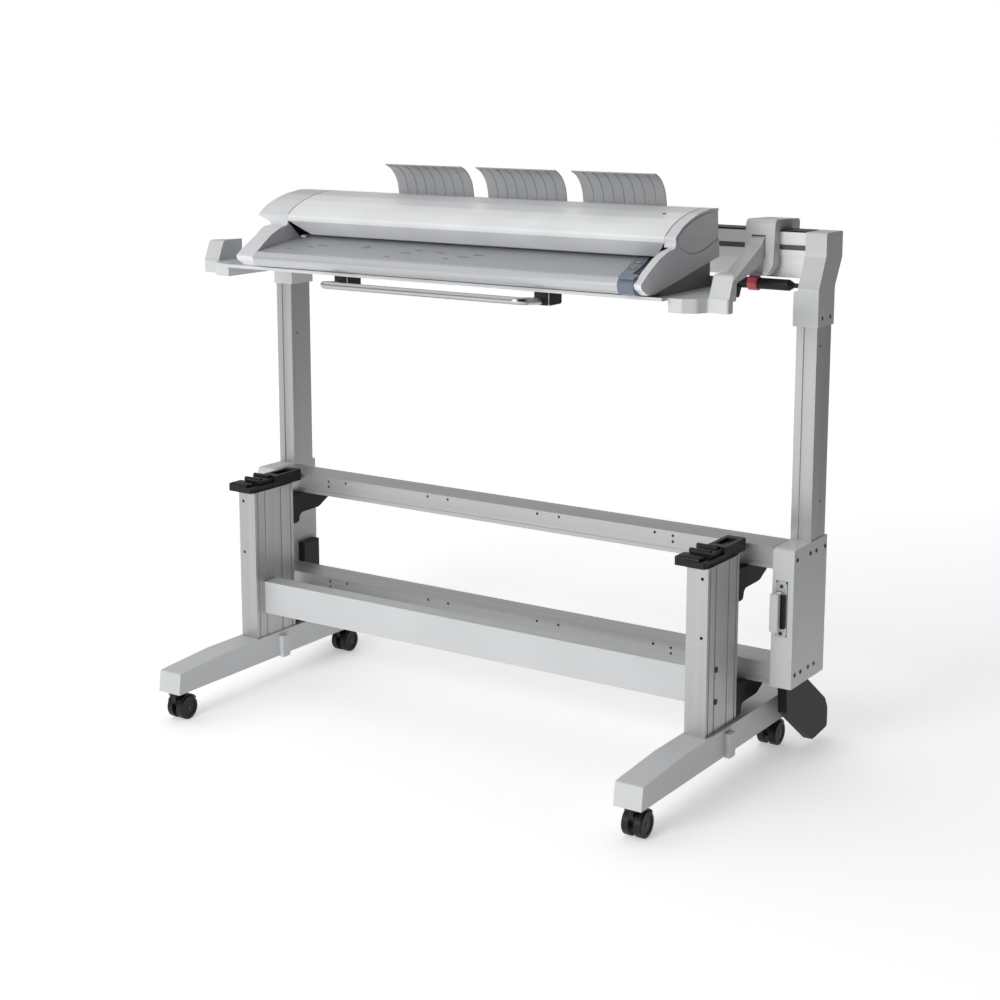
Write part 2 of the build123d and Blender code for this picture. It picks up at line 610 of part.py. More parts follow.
SIDE_RECESS = ((300, 38), (254, 34.6), (222, 31), (200, 31), (157, 38), (124, 56), (106, 76), (105.5, 85),
               (134, 97.2), (168, 104), (207, 106.8), (257, 104.7), (300, 95))


def end_cap_left():
    """Left end cap: it overhangs a narrower front arm and houses the drive behind it."""
    outer, inner = -BODY_HALF, LID_X[0]
    arm_outer, arm_inner = FRONT_ARM_X
    hollow = (arm_outer + 3.5, inner - 3)
    with BuildPart() as piece:
        scan_prism((outer, arm_inner), CAP, rounds=CAP_ROUNDS)
        scan_box((inner, arm_inner + 1), (98, 300), (-5, 120), Mode.SUBTRACT)
        under_table = ((-24.2, -5), (98, -5), (98, 31.6), (-24.2, 40.6))
        scan_prism((inner, arm_inner + 1), under_table, Mode.SUBTRACT)
        flare = ((arm_inner, 0), (arm_inner + 6, 0), (arm_inner + 6, 126), (inner, 123))
        prism(table_plane(0.1), 40, flare, Mode.SUBTRACT)
        undercut = ((outer - 1, 86.5), (arm_outer, 62), (arm_outer, -6), (outer - 1, -6))
        cross_prism((-60, FRONT_ARM_END), undercut, Mode.SUBTRACT)
        below = ((FRONT_ARM_END, -5), (300, -5), (300, 27.5), (165, 31), (FRONT_ARM_END, 31))
        scan_prism((DRIVE_X, inner), below, Mode.SUBTRACT)
        scan_prism((outer + 4, DRIVE_X), REAR_POCKET, Mode.SUBTRACT)
        scan_prism((DRIVE_X - 1, hollow[0]), REAR_POCKET, Mode.SUBTRACT)
        scan_prism(hollow, LID_HOLLOW, Mode.SUBTRACT)
        scan_prism(hollow, ARM_POCKET, Mode.SUBTRACT)
        scan_rod((inner - 3, inner + 18), HINGE, HINGE_RADIUS)
    save(piece, "end_cap_left")


def end_cap_right():
    """Right end cap: a thin-walled side with a shallow recess and a slim front arm."""
    inner = LID_X[1]
    with BuildPart() as piece:
        scan_prism((inner, BODY_HALF), CAP, rounds=CAP_ROUNDS)
        beside_panel = ((-60, -6), (2, -6), (2, 37.8), (150, 27.5), (150, 36), (110, 64), (98, 68), (98, 80),
                        (-60, 80))
        scan_prism((inner - 1, PANEL_EDGE_X), beside_panel, Mode.SUBTRACT)
        scan_prism((PANEL_EDGE_X + 3.5, BODY_HALF - 4), POCKET, Mode.SUBTRACT)
        scan_prism((inner + 3, PANEL_EDGE_X + 4), REAR_POCKET, Mode.SUBTRACT)
        scan_box((inner, inner + 3), (148, 275), (6.5, 24), Mode.SUBTRACT)
        scan_prism((BODY_HALF - 2, BODY_HALF + 1), SIDE_RECESS, Mode.SUBTRACT,
                   rounds=(0, 20, 20, 20, 20, 20, 6, 4, 20, 40, 40, 40, 0))
        scan_rod((inner - 16, inner + 3), HINGE, HINGE_RADIUS)
    save(piece, "end_cap_right")


def scanner_lid():
    """Curved hollow lid, open underneath, with hinge bosses and hangers for the pressure plate."""
    x = (LID_X[0] + 0.5, LID_X[1] - 0.5)
    skin = ((140, 34), (286, 34), (294.5, 100.5), (257.4, 108.5), (206.9, 110.8), (167.7, 108),
            (132.9, 101.3), (100.9, 87.9), (101.8, 76.6), (133, 37.5))
    with BuildPart() as piece:
        scan_prism(x, skin, rounds=(2, 0, 5, 60, 90, 60, 60, 6, 4, 4))
        scan_prism((x[0] + 3, x[1] - 3), LID_END_HOLLOW, Mode.SUBTRACT)
        scan_prism((x[0] + LID_MITRE + 6, x[1] - LID_MITRE - 6), LID_HOLLOW, Mode.SUBTRACT)
        for end, inward in ((x[0], 1), (x[1], -1)):
            mitre = ((end - inward, 78), (end - inward, 30), (end + inward * (LID_MITRE + 5), 30))
            cross_prism((95, 169), mitre, Mode.SUBTRACT)
        for near, far in ((x[0] + 3, x[0] + 20), (x[1] - 18, x[1] - 3)):
            scan_rod((near, far), HINGE, 8)
        for near, far in ((x[0] - 1, x[0] + 21), (x[1] - 19, x[1] + 1)):
            scan_rod((near, far), HINGE, HINGE_RADIUS + FIT, Mode.SUBTRACT)
        for middle in (-300, 20, 340):
            scan_box((middle - 1.5, middle + 1.5), (200, 250), (PLATE_W[1], 107.5))
    save(piece, "scanner_lid")


def pressure_plate():
    """White plate under the lid that keeps the sheet near the glass."""
    with BuildPart() as piece:
        scan_box((-450, 510), (176, 276), PLATE_W)
    save(piece, "pressure_plate")


def control_panel():
    """Flat key panel that bends from the table over the front lip."""
    right = PANEL_EDGE_X - 0.5
    face = ((427, 180), (447, 120), (468, 59), (484, 10), (494, -22), (right, -22), (right, 3), (508, 12),
            (497, 59), (478, 120), (454, 180))
    hook = ((-24.2, 43.5), (-40, 44), (-53, 34), (-50, 13), (-26, 3), (-1, 0.3), (-1, 20), (-24.2, 30))
    with BuildPart() as piece:
        prism(table_plane(), 4, face, rounds=(6, 0, 0, 20, 6, 0, 3, 6, 30, 0, 6))
        scan_prism((494, right), hook, rounds=(0, 9, 10, 10, 8, 0, 0, 0))
        for centre in BUTTONS:
            disc(table_plane(-1), 8, centre, BUTTON_RADIUS + FIT, Mode.SUBTRACT)
    save(piece, "control_panel")


def buttons():
    """Start and stop keys, each sliding in its own hole in the panel."""
    for centre, label in zip(BUTTONS, ("start_button", "stop_button")):
        with BuildPart() as piece:
            disc(table_plane(1.2), 3.8, centre, BUTTON_RADIUS)
            fillet(piece.faces().sort_by(Axis.Z)[-1].edges(), 0.6)
        save(piece, label)


def paper_guides():
    """Three curved catch guides behind the lid, ribbed in front and bolted to the base's rear wall."""
    arch = (231.5, 114)
    rear = arch[0] + GUIDE_RADIUS
    with BuildPart() as piece:
        for low, high in GUIDES:
            pitch = (high - low) / 8
            strips = [(low, high, 0, 2.5)]
            strips += [(low + pitch * n - 1.2, low + pitch * n + 1.2, 2.5, 3.7) for n in range(1, 8)]
            for near, far, skin, depth in strips:
                outer, inner = GUIDE_RADIUS - skin, GUIDE_RADIUS - depth
                with BuildSketch(scan_plane(near)) as section:
                    with BuildLine():
                        Line((rear - depth, 4), (rear - depth, arch[1]))
                        front_arc = CenterArc(arch, inner, 0, GUIDE_SWEEP)
                        rear_arc = CenterArc(arch, outer, 0, GUIDE_SWEEP)
                        Line(front_arc @ 1, rear_arc @ 1)
                        Line((rear - skin, arch[1]), (rear - skin, 4))
                        Line((rear - skin, 4), (rear - depth, 4))
                    make_face()
                extrude(section.sketch, amount=far - near)
            for near in (low + 18, high - 42):
                bracket = ((282.65, 6), (rear - 2.5, 6), (rear - 2.5, 20), (284.17, 20))
                scan_prism((near, near + 24), bracket)
    save(piece, "paper_guides")


# ---------------------------------------------------------------- scanner internals

def glass_plate():
    with BuildPart() as piece:
        scan_box((-480, 490), (189, 251), GLASS_W)
    save(piece, "glass_plate")


def cis_modules():
    """Four contact image sensors, staggered so that their ends overlap."""
    with BuildPart() as piece:
        for count in range(4):
            low = -470 + 235 * count
            near = 196 if count % 2 == 0 else 225
            scan_box((low, low + 250), (near, near + 18), (3, 21))
    save(piece, "cis_modules")


def feed_roller(end):
    """Rubber feed roller with its shaft ends and belt pulley."""
    centre = (ROLLER_U[end], ROLLER_W)
    with BuildPart() as piece:
        scan_rod((-534, 526), centre, SHAFT_RADIUS)
        for count in range(5):
            low = -500 + 206 * count
            scan_rod((low, low + 190), centre, ROLLER_RADIUS)
        scan_rod((-533, -525), centre, PULLEY_RADIUS)
    save(piece, f"{end}_roller")


def stepper_motor():
    with BuildPart() as piece:
        scan_box((DRIVE_X, -470), (MOTOR[0] - 21, MOTOR[0] + 21), (MOTOR[1] - 21, MOTOR[1] + 21))
        chamfer(piece.edges().filter_by(Axis.X), 3)
        scan_rod((DRIVE_X, -498), MOTOR, 2.5 + FIT, Mode.SUBTRACT)
        scan_rod((-502, -474), MOTOR, 11.4, Mode.SUBTRACT)
    save(piece, "stepper_motor")


def motor_rotor():
    """The motor's turning part: steel rotor, shaft and belt pulley."""
    with BuildPart() as piece:
        scan_rod((-501, -475), MOTOR, 11)
        scan_rod((-533, -501), MOTOR, 2.5)
        scan_rod((-533, -525), MOTOR, MOTOR_PULLEY_RADIUS)
    save(piece, "motor_rotor")


def drive_belt():
    """Toothless belt loop round the motor pulley and the two roller pulleys."""
    wraps = [((u, ROLLER_W), PULLEY_RADIUS) for u in ROLLER_U.values()] + [(MOTOR, MOTOR_PULLEY_RADIUS)]
    with BuildPart() as piece:
        for growth, mode in ((1.2, Mode.ADD), (0.2, Mode.SUBTRACT)):
            with BuildSketch(scan_plane(-532)) as loop:
                for centre, radius in wraps:
                    with Locations(centre):
                        Circle(radius + growth)
                make_hull()
            extrude(loop.sketch, amount=6, mode=mode)
    save(piece, "drive_belt")


def side_frames():
    """Bearing plates for the rollers, on the outer faces of the base's side walls."""
    with BuildPart() as piece:
        left = (DRIVE_X - 3, DRIVE_X)
        right = (LID_X[1], LID_X[1] + 3)
        scan_box(left, (160, 274), (8, 82))
        scan_box(right, (150, 274), (8, 22.5))
        scan_rod(left, MOTOR, 8, Mode.SUBTRACT)
        for u in ROLLER_U.values():
            for x in (left, right):
                scan_rod(x, (u, ROLLER_W), SHAFT_RADIUS + FIT, Mode.SUBTRACT)
    save(piece, "side_frames")


def main_board():
    """Control board on four stand-offs, with its larger chips."""
    with BuildPart() as piece:
        scan_box((-150, 150), (30, 130), (8, 9.6))
        for x in (-142, 138):
            for u in (34, 122):
                scan_box((x, x + 5), (u, u + 5), (3, 8))
        for x, u, size in ((-60, 60, 30), (20, 55, 24), (80, 90, 16), (-120, 90, 14)):
            scan_box((x, x + size), (u, u + size), (9.6, 12.5))
    save(piece, "main_board")


for side_sign, side_name in SIDES:
    foot(side_sign, side_name)
    front_post(side_sign, side_name)
    printer_rest(side_sign, side_name)
    end_box(side_sign, side_name)
    column(side_sign, side_name)
    top_bracket(side_sign, side_name)
    arm_housing(side_sign, side_name)
    scanner_arm(side_sign, side_name)
    for end_name in CASTOR_Y:
        castor(end_name, side_sign, f"{end_name}_{side_name}")

for end_name in ROLLER_U:
    feed_roller(end_name)

front_crossbar()
rear_rail(UPPER_RAIL_Z, "upper_rear_rail")
rear_rail(LOWER_RAIL_Z, "lower_rear_rail")
gussets()
side_grip()
top_rail()
top_rail_strip()
rail_skirt()
rear_links()
cable_box()
frame_screws()
arm_pivot_pins()
lock_shaft()
lock_collar()
support_tray()
pull_handle()
scanner_base()
feed_table()
table_lip()
end_cap_left()
end_cap_right()
scanner_lid()
pressure_plate()
control_panel()
buttons()
paper_guides()
glass_plate()
cis_modules()
stepper_motor()
motor_rotor()
drive_belt()
side_frames()
main_board()
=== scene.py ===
import json
from math import cos, pi, radians, sin

import bmesh
import bpy
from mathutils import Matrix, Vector
from mathutils.bvhtree import BVHTree

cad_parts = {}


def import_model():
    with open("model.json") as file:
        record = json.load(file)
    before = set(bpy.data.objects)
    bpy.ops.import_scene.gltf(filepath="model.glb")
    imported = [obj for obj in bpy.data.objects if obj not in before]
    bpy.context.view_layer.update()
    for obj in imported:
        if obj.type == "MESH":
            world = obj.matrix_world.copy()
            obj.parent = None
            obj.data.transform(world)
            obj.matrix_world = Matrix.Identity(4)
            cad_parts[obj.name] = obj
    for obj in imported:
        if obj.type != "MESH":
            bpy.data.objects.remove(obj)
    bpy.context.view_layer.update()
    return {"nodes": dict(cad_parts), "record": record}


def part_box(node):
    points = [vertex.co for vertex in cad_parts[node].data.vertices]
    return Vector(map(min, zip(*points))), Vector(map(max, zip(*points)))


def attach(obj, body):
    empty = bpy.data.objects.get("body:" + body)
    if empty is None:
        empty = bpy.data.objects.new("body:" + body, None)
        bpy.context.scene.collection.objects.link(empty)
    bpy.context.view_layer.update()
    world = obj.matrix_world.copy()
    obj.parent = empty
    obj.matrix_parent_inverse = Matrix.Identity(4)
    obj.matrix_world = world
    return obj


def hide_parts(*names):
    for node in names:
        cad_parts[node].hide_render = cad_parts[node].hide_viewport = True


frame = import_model()
NODES = frame["nodes"]
SCENE = bpy.context.scene
# The floor glows under the object and more behind it; the room darkens to the right and in a band.
FLOOR_GLOW = 0.4
FAR_GLOW = 0.6
ROOM_DARK = 0.04
BAND_DARK = 0.25


# ---------------------------------------------------------------- node helpers

class Graph:
    """A Principled material under construction, with short calls for the nodes that feed it."""

    def __init__(self, name, roughness=0.4, metallic=0.0, **sockets):
        self.material = bpy.data.materials.new(name)
        self.material.use_nodes = True
        self.tree = self.material.node_tree
        self.shader = self.tree.nodes["Principled BSDF"]
        self.shader.inputs["Roughness"].default_value = roughness
        self.shader.inputs["Metallic"].default_value = metallic
        for socket, value in sockets.items():
            self.shader.inputs[socket.replace("_", " ")].default_value = value
        self.coordinates = self.tree.nodes.new("ShaderNodeTexCoord").outputs["Object"]

    def add(self, kind, **settings):
        node = self.tree.nodes.new(kind)
        for key, value in settings.items():
            setattr(node, key, value)
        return node

    def link(self, output, target):
        self.tree.links.new(output, target)

    def stretched(self, scale):
        """Object coordinates multiplied by a scale for each axis."""
        node = self.add("ShaderNodeMapping")
        node.inputs["Scale"].default_value = scale
        self.link(self.coordinates, node.inputs["Vector"])
        return node.outputs["Vector"]

    def noise(self, vector, scale, detail=3.0, roughness=0.5):
        node = self.add("ShaderNodeTexNoise")
        node.inputs["Scale"].default_value = scale
        node.inputs["Detail"].default_value = detail
        node.inputs["Roughness"].default_value = roughness
        self.link(vector, node.inputs["Vector"])
        return node.outputs["Fac"]

    def ramp(self, value, low, high, start=0.3, end=0.7):
        """Turns a 0 to 1 value into a colour between low and high."""
        node = self.add("ShaderNodeValToRGB")
        first, last = node.color_ramp.elements
        first.position, first.color = start, (*low, 1)
        last.position, last.color = end, (*high, 1)
        self.link(value, node.inputs["Fac"])
        return node.outputs["Color"]

    def spread(self, value, low, high):
        """Maps a 0 to 1 value to a range."""
        node = self.add("ShaderNodeMapRange")
        node.inputs["To Min"].default_value = low
        node.inputs["To Max"].default_value = high
        self.link(value, node.inputs["Value"])
        return node.outputs["Result"]

    def colour(self, output):
        self.link(output, self.shader.inputs["Base Color"])

    def roughness(self, output):
        self.link(output, self.shader.inputs["Roughness"])

    def bump(self, height, distance, strength=0.5):
        node = self.add("ShaderNodeBump")
        node.inputs["Distance"].default_value = distance
        node.inputs["Strength"].default_value = strength
        self.link(height, node.inputs["Height"])
        self.link(node.outputs["Normal"], self.shader.inputs["Normal"])


def shade(colour, factor):
    return tuple(min(1.0, part * factor) for part in colour)


def powder_coat(name, colour, roughness=0.42):
    """Sprayed paint on metal: faint orange peel and very slight shifts of tone."""
    g = Graph(name, roughness, Coat_Weight=0.15, Coat_Roughness=0.25)
    cloud = g.noise(g.coordinates, 5.0, 2.0)
    g.colour(g.ramp(cloud, shade(colour, 0.96), shade(colour, 1.03)))
    peel = g.noise(g.coordinates, 420.0, 2.0)
    g.roughness(g.spread(peel, roughness - 0.05, roughness + 0.08))
    g.bump(peel, 0.0004, 0.25)
    return g.material


def brushed(name, colour, along, roughness=0.36, metallic=0.85):
    """Anodised extrusion: fine die lines that run along one axis."""
    g = Graph(name, roughness, metallic)
    fine = tuple(2.0 if axis == along else 700.0 for axis in "xyz")
    broad = tuple(0.8 if axis == along else 60.0 for axis in "xyz")
    lines = g.noise(g.stretched(fine), 1.0, 3.0, 0.6)
    bands = g.noise(g.stretched(broad), 1.0, 2.0)
    g.colour(g.ramp(bands, shade(colour, 0.93), shade(colour, 1.05)))
    g.roughness(g.spread(lines, roughness - 0.08, roughness + 0.12))
    g.bump(lines, 0.0002, 0.3)
    return g.material


def moulded(name, colour, roughness=0.45, grain=900.0, depth=0.0003, coat=0.0, specular=0.5):
    """Moulded plastic: fine spark-eroded grain."""
    g = Graph(name, roughness, Coat_Weight=coat, Coat_Roughness=0.15, Specular_IOR_Level=specular)
    cloud = g.noise(g.coordinates, 9.0, 2.0)
    g.colour(g.ramp(cloud, shade(colour, 0.95), shade(colour, 1.04)))
    texture = g.noise(g.coordinates, grain, 2.0)
    g.roughness(g.spread(texture, roughness - 0.05, roughness + 0.07))
    g.bump(texture, depth, 0.3)
    return g.material


def metal(name, colour, roughness, grain=300.0):
    """Plain bright or plated metal with faint unevenness."""
    g = Graph(name, roughness, 1.0)
    cloud = g.noise(g.coordinates, grain, 3.0)
    g.colour(g.ramp(cloud, shade(colour, 0.94), shade(colour, 1.04)))
    g.roughness(g.spread(cloud, max(0.02, roughness - 0.03), roughness + 0.04))
    return g.material


def dress(material, *names):
    """Gives CAD nodes their finished material."""
    for name in names:
        NODES[name].data.materials.clear()
        NODES[name].data.materials.append(material)


PAINT = powder_coat("paint_light_grey", (0.60, 0.61, 0.62))
RAIL = brushed("anodised_rail", (0.47, 0.475, 0.48), "x", 0.34, 0.6)
TOP_RAIL = brushed("anodised_top_rail", (0.74, 0.745, 0.75), "x", 0.4, 0.25)
POST = brushed("anodised_post", (0.46, 0.465, 0.47), "z", 0.34, 0.6)
BLACK = moulded("black_plastic", (0.008, 0.008, 0.009), 0.42, specular=0.3)
CAST = moulded("black_casting", (0.008, 0.008, 0.009), 0.5, 300.0, specular=0.25)
WHITE = moulded("cap_light_grey", (0.70, 0.71, 0.73), 0.35, 700.0, 0.0002, 0.3)
LID = moulded("lid_silver", (0.85, 0.86, 0.87), 0.32, 800.0, 0.0002, 0.3)
TABLE = powder_coat("table_grey", (0.42, 0.43, 0.445), 0.36)
LIP = brushed("lip_silver", (0.52, 0.53, 0.545), "x", 0.3, 0.5)
PANEL = moulded("panel_blue_grey", (0.13, 0.155, 0.21), 0.35, 900.0, 0.0002, 0.2)
GUIDE = moulded("guide_grey", (0.36, 0.365, 0.375), 0.35, 700.0, 0.0002, 0.2)
CHROME = metal("handle_chrome", (0.5, 0.505, 0.51), 0.22)
STEEL = metal("zinc_steel", (0.55, 0.56, 0.57), 0.35, 120.0)
RED = moulded("collar_red", (0.5, 0.05, 0.06), 0.3, 900.0, 0.0001, 0.4)
RUBBER = moulded("roller_rubber", (0.03, 0.03, 0.032), 0.75, 600.0, 0.0004)
BACKING = moulded("backing_white", (0.8, 0.8, 0.8), 0.6, 900.0, 0.0001)
GREEN_KEY = moulded("start_key_green", (0.1, 0.35, 0.16), 0.25, 900.0, 0.0001, 0.5)
GREY_KEY = moulded("stop_key_grey", (0.45, 0.46, 0.5), 0.25, 900.0, 0.0001, 0.5)
BOARD = moulded("board_green", (0.02, 0.12, 0.05), 0.4, 200.0, 0.0002, 0.3)
# Dark grey that paints the shade in the thin gaps beside the lid and in the top rail's groove; it is
# also the key bezels' own colour.
SHADE_AND_BEZEL_GREY = moulded("painted_shade_and_bezel_grey", (0.075, 0.077, 0.08), 0.5, 500.0)
# Mid-dark grey that paints the shade on the tilt blocks' flanks under the scanner.
FLANK_SHADE_GREY = moulded("tilt_flank_shade_grey", (0.24, 0.243, 0.25), 0.5, 500.0)
INK = moulded("setting_mark_ink", (0.16, 0.165, 0.175), 0.5, 900.0, 0.0001)
SCREW = metal("dark_screw", (0.10, 0.10, 0.105), 0.35)
HUB = moulded("castor_hub", (0.018, 0.018, 0.019), 0.35, 600.0)
LAMP = moulded("status_lamp", (0.55, 0.6, 0.62), 0.2, 900.0, 0.0001, 0.5)

for side in ("left", "right"):
    dress(PAINT, f"foot_{side}", f"end_box_{side}", f"top_bracket_{side}", f"scanner_arm_{side}",
          f"arm_housing_{side}")
    dress(POST, f"front_post_{side}", f"column_{side}")
    dress(BLACK, f"printer_rest_{side}")
    dress(WHITE, f"end_cap_{side}")
    for end in ("front", "rear"):
        dress(BLACK, f"castor_fork_{end}_{side}", f"castor_wheels_{end}_{side}")
        dress(RUBBER, f"{end}_roller")
dress(PAINT, "front_crossbar", "support_tray")
dress(RAIL, "upper_rear_rail", "lower_rear_rail")
dress(TOP_RAIL, "top_rail", "rail_skirt")
dress(BLACK, "cable_box", "side_grip", "top_rail_strip", "lock_shaft", "frame_screws", "cis_modules")
dress(CAST, "rail_gussets", "rear_links")
dress(STEEL, "arm_pivot_pins", "motor_rotor", "scanner_base", "side_frames", "stepper_motor")
dress(RED, "lock_collar")
dress(CHROME, "pull_handle")
dress(LID, "scanner_lid")
dress(TABLE, "feed_table")
dress(LIP, "table_lip")
dress(PANEL, "control_panel")
dress(GREEN_KEY, "start_button")
dress(GREY_KEY, "stop_button")
dress(GUIDE, "paper_guides")
dress(RUBBER, "drive_belt")
dress(BACKING, "pressure_plate")
dress(BOARD, "main_board")


def clear_glass():
    g = Graph("clear_glass", 0.03, 0.0, Transmission_Weight=0.9, IOR=1.5)
    film = g.noise(g.coordinates, 30.0, 2.0)
    g.colour(g.ramp(film, (0.80, 0.88, 0.86), (0.86, 0.92, 0.90)))
    return g.material


dress(clear_glass(), "glass_plate")


# ---------------------------------------------------------------- detail pieces

JOINTS = {joint["name"]: joint for joint in frame["record"]["behaviour"]["joints"]}
HINGE_SECTION = (278.0, 92.0)
TILT = radians(10.6)
TABLE_FALL = radians(4.21)
BACK = Vector((0, cos(TILT), sin(TILT)))
UP = Vector((0, -sin(TILT), cos(TILT)))


def world(x, y, z):
    """A point of the stand, given in millimetres."""
    return Vector((x, y, z)) / 1000


def scan(x, u, w):
    """A point of the scanner's tilted section, placed from the lid's hinge line."""
    hinge = Vector(JOINTS["lid_open"]["pos_m"])
    offset = BACK * (u - HINGE_SECTION[0]) + UP * (w - HINGE_SECTION[1])
    return Vector((0, hinge.y, hinge.z)) + (Vector((x, 0, 0)) + offset) / 1000


def on_table(x, v, height):
    """A point above the feed table: v runs to the rear from the table's front edge."""
    u = -24.0 + v * cos(TABLE_FALL) + height * sin(TABLE_FALL)
    return scan(x, u, 40.4 - v * sin(TABLE_FALL) + height * cos(TABLE_FALL))


def finished(mesh, name, material, body):
    """Turns a bmesh into a piece that rides on a body."""
    data = bpy.data.meshes.new(name)
    mesh.to_mesh(data)
    mesh.free()
    data.materials.append(material)
    piece = bpy.data.objects.new(name, data)
    SCENE.collection.objects.link(piece)
    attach(piece, body)
    return piece


def slab(name, material, place, outline, near, far, axes, body, bevel=0.3):
    """Straight prism: an outline on two axes, run from near to far along the third, with soft edges."""
    orders = {"xy": (0, 1, 2), "yz": (2, 0, 1), "xz": (0, 2, 1)}
    order = orders[axes]
    mesh = bmesh.new()
    rings = []
    for depth in (near, far):
        points = ((a, b, depth) for a, b in outline)
        rings.append([mesh.verts.new(place(*(point[i] for i in order))) for point in points])
    count = len(outline)
    mesh.faces.new(rings[0])
    mesh.faces.new(rings[1])
    for i in range(count):
        following = (i + 1) % count
        mesh.faces.new((rings[0][i], rings[0][following], rings[1][following], rings[1][i]))
    bmesh.ops.recalc_face_normals(mesh, faces=mesh.faces)
    if bevel:
        bmesh.ops.bevel(mesh, geom=mesh.edges[:], offset=bevel / 1000, segments=2, affect="EDGES",
                        clamp_overlap=True)
    return finished(mesh, name, material, body)


def ring(centre, radius, count=28):
    """Corners of a circle."""
    step = 2 * pi / count
    return [(centre[0] + radius * cos(step * i), centre[1] + radius * sin(step * i))
            for i in range(count)]


def rounded(low, high, radius, count=5):
    """Corners of a rectangle with round corners."""
    corners = ((high[0] - radius, high[1] - radius), (low[0] + radius, high[1] - radius),
               (low[0] + radius, low[1] + radius), (high[0] - radius, low[1] + radius))
    points = []
    for turn, corner in enumerate(corners):
        for i in range(count):
            angle = (turn + i / (count - 1)) * pi / 2
            points.append((corner[0] + radius * cos(angle), corner[1] + radius * sin(angle)))
    return points


def millimetres(node):
    """Low and high corner of a CAD node."""
    return tuple(tuple(value * 1000 for value in corner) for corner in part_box(node))


def lid_end_details():
    """Black sheets that paint the shade in the mitred ends of the lid, on the caps beside them and
    beside the key panel.
    """
    face = ((104.5, 74.5), (104.5, 72), (133, 36.5), (140, 35), (167, 35), (167, 74.5))
    for name, sign, start in (("left", 1, -460.5), ("right", -1, 521.5)):
        def mitre(x, u, w, sign=sign, start=start):
            return scan(start + sign * (x + 0.9167 * (78 - w)), u, w)
        slab(f"lid_mitre_shade_{name}", BLACK, mitre, face, -0.7, -0.05, "yz", "lid", 0)
    cheek = ((104.5, 73.5), (104.5, 70), (131, 36), (133, 32), (166, 31), (166, 73.5))
    slab("cap_cheek_shade_left", BLACK, scan, cheek, -459.9, -459.2, "yz", "scanner", 0)
    slab("cap_cheek_shade_right", BLACK, scan, cheek, 520.2, 520.9, "yz", "scanner", 0)
    strip = ((509, 14), (530.2, 14), (530.2, 118), (520.5, 124), (520.5, 150), (467, 150), (479, 120),
             (498, 59))
    slab("panel_side_shade", BLACK, on_table, strip, 0.05, 2.6, "xy", "scanner", 0.4)
    slab("sheet_stop", WHITE, on_table, rounded((-458, 160), (-444, 172), 2), 0.05, 4, "xy", "scanner",
         0.5)


def table_marks():
    """Generic setting marks printed on the feed table: dashes, no lettering."""
    dashes = ((-398, 34, 12), (-364, 66, 18), (-349, 86, 26), (-228, 92, 22), (-225, 104, 10),
              (-118, 24, 16), (-106, 68, 30), (-86, 98, 18), (-26, 92, 22), (26, 42, 16), (46, 68, 30),
              (72, 92, 26))
    width = 7
    for number, (x, v, length) in enumerate(dashes):
        outline = rounded((x, v), (x + length, v + width), 1.5, 3)
        slab(f"table_mark_{number}", INK, on_table, outline, 0.02, 0.12, "xy", "scanner",
             0)


def top_rail_details():
    """Dark grey strip in the top rail's front groove, which paints the groove's shade."""
    low, high = millimetres("top_rail")
    front, back = low[1] + 2.2, low[1] + 4.9
    bottom, top = 1121.3, 1131.7
    outline = ((front, bottom), (front, top), (back, top), (back, bottom))
    slab("top_rail_groove_shade", SHADE_AND_BEZEL_GREY, world, outline, low[0] + 1, high[0] - 1, "yz", "stand",
         0.2)


def slot_covers():
    """Curved shields on the arms' knuckles, which close the housings' slots."""
    pivot = Vector(JOINTS["scanner_lift"]["pos_m"]) * 1000
    outer, inner = 30, 13
    for name, sign in (("left", -1), ("right", 1)):
        arc = [radians(18 + 7 * i) for i in range(10)]
        outline = [(pivot.y - outer * cos(a), pivot.z + outer * sin(a)) for a in arc]
        outline += [(pivot.y - inner * cos(a), pivot.z + inner * sin(a)) for a in reversed(arc)]
        near, far = sorted((sign * 576.5, sign * 605.5))
        slab(f"slot_cover_{name}", PAINT, world, outline, near, far, "yz", "scanner",
             0)


def grip_details():
    """The end box's pull handle: steel back plate, black pad, brackets, screws and a light grip bar.
    The black pad is the handle's black backing and also paints the shade of its recess.
    """
    outside = millimetres("side_grip")[0][1]
    face = millimetres("end_box_right")[0][1]
    middle = 710.5
    plate = rounded((697.5, 313.5), (723.5, 436.5), 9)
    pad = rounded((699.5, 334), (721.5, 409), 3)
    bar = rounded((693.5, 329), (712.5, 412), 2.5)
    parts = [slab("grip_plate", STEEL, world, plate, face - 2.2, face - 0.05, "xz", "stand",
                  0.5),
             slab("grip_backing_and_shade", BLACK, world, pad, face - 9, face - 2.2, "xz", "stand",
                  0.6),
             slab("grip_bar", PAINT, world, bar, outside + 0.5, face - 11, "xz", "stand",
                  1.2)]
    for number, z in enumerate((331.5, 403)):
        bracket = rounded((698, z), (711, z + 7), 1.5)
        parts.append(slab(f"grip_bracket_{number}", STEEL, world, bracket, face - 12, face - 2,
                          "xz", "stand", 0.4))
    for number, z in enumerate((322, 425)):
        head = ring((middle, z), 4.2, 20)
        # A thin black mark on each screw head paints the shade of its slot.
        groove = rounded((middle - 2.6, z - 0.6), (middle + 2.6, z + 0.6), 0.5, 3)
        parts.append(slab(f"grip_screw_{number}", SCREW, world, head, face - 4, face - 2.1,
                          "xz", "stand", 0.5))
        parts.append(slab(f"grip_screw_slot_shade_{number}", BLACK, world, groove, face - 4.15,
                          face - 3.9, "xz", "stand", 0))
    for part in parts:
        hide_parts("side_grip")


